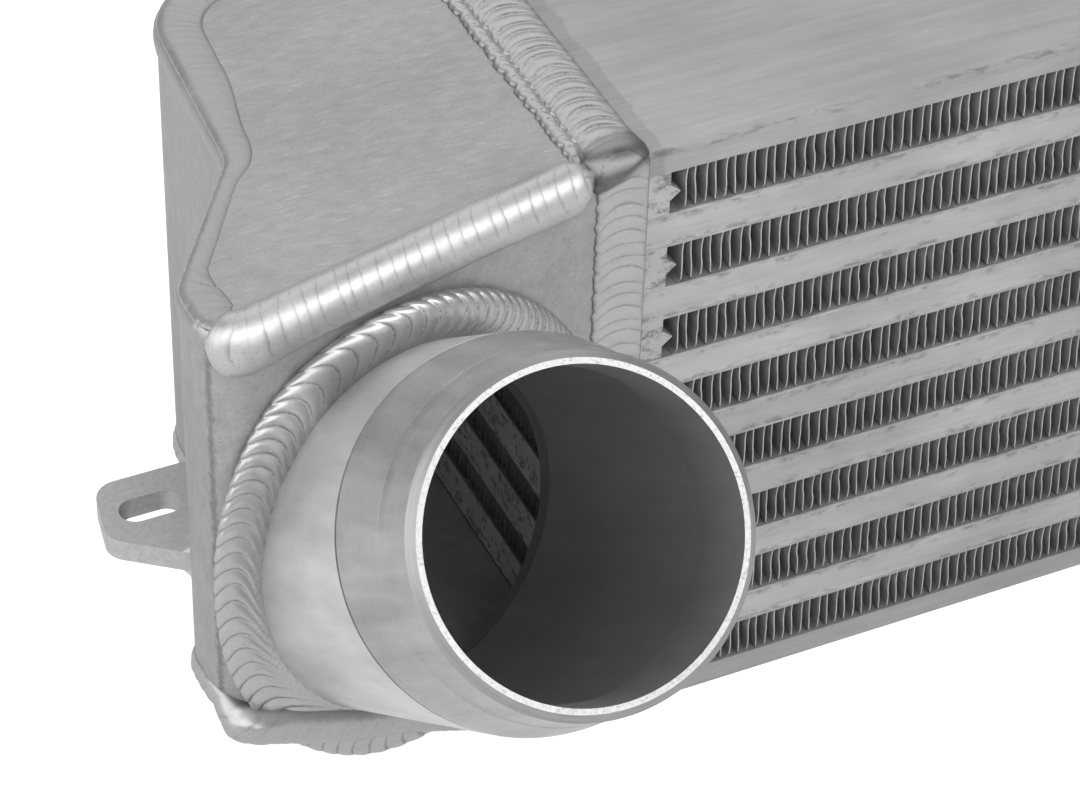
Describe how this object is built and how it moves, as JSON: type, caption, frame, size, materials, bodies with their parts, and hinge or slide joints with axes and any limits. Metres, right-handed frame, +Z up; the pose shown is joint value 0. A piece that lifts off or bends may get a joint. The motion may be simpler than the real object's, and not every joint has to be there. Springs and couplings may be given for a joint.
{
  "type": "intercooler",
  "caption": "Bar-and-plate charge-air cooler: finned rectangular core, a welded sheet tank at each end with a slanting front neck for a hose, and a slotted bracket on each tank",
  "frame": {"origin": "middle of the core's underside, on the bottom plate's outer face", "axes": "+X along the core towards the right tank, +Y from the front face, where the necks are, to the rear face, +Z up through the stack"},
  "size_m": [0.6504, 0.1921, 0.1597],
  "materials": {
    "ambient_fin": "dull aluminium fin stock",
    "charge_fin": "dull aluminium fin stock",
    "closing_bar": "drawn bar, satin, lightly smeared",
    "parting_sheet": "brazing sheet, satin",
    "core_plate": "mill finish with fine grain along the core",
    "tank_sheet": "mill finish sheet, fine scratches and faint stains",
    "neck_tube": "mill finish tube, smooth",
    "turned_ring": "turned, fine marks round the axis, bright end face",
    "bracket_plate": "blasted plate, fine grain",
    "weld_bead": "satin rippled bead with bright crests"
  },
  "bodies": {
    "root": {"ambient_fin_1": "ambient_fin", "ambient_fin_2": "ambient_fin", "ambient_fin_3": "ambient_fin", "ambient_fin_4": "ambient_fin", "ambient_fin_5": "ambient_fin", "ambient_fin_6": "ambient_fin", "ambient_fin_7": "ambient_fin", "ambient_fin_8": "ambient_fin", "charge_fin_1": "charge_fin", "charge_fin_2": "charge_fin", "charge_fin_3": "charge_fin", "charge_fin_4": "charge_fin", "charge_fin_5": "charge_fin", "charge_fin_6": "charge_fin", "charge_fin_7": "charge_fin", "core_bottom_plate": "core_plate", "core_top_plate": "core_plate", "front_bar_1": "closing_bar", "front_bar_2": "closing_bar", "front_bar_3": "closing_bar", "front_bar_4": "closing_bar", "front_bar_5": "closing_bar", "front_bar_6": "closing_bar", "front_bar_7": "closing_bar", "left_bracket": "bracket_plate", "left_bracket_weld": "weld_bead", "left_core_weld": "weld_bead", "left_end_bars": "closing_bar", "left_front_top_weld": "weld_bead", "left_hose_ring": "turned_ring", "left_neck": "neck_tube", "left_neck_weld": "weld_bead", "left_rear_top_weld": "weld_bead", "left_tank_bottom_plate": "tank_sheet", "left_tank_front_plate": "tank_sheet", "left_tank_side_wall": "tank_sheet", "left_tank_top_plate": "tank_sheet", "left_underside_weld": "weld_bead", "parting_sheets": "parting_sheet", "rear_bar_1": "closing_bar", "rear_bar_2": "closing_bar", "rear_bar_3": "closing_bar", "rear_bar_4": "closing_bar", "rear_bar_5": "closing_bar", "rear_bar_6": "closing_bar", "rear_bar_7": "closing_bar", "right_bracket": "bracket_plate", "right_bracket_weld": "weld_bead", "right_core_weld": "weld_bead", "right_end_bars": "closing_bar", "right_front_top_weld": "weld_bead", "right_hose_ring": "turned_ring", "right_neck": "neck_tube", "right_neck_weld": "weld_bead", "right_rear_top_weld": "weld_bead", "right_tank_bottom_plate": "tank_sheet", "right_tank_front_plate": "tank_sheet", "right_tank_side_wall": "tank_sheet", "right_tank_top_plate": "tank_sheet", "right_underside_weld": "weld_bead"}
  },
  "joints": []
}
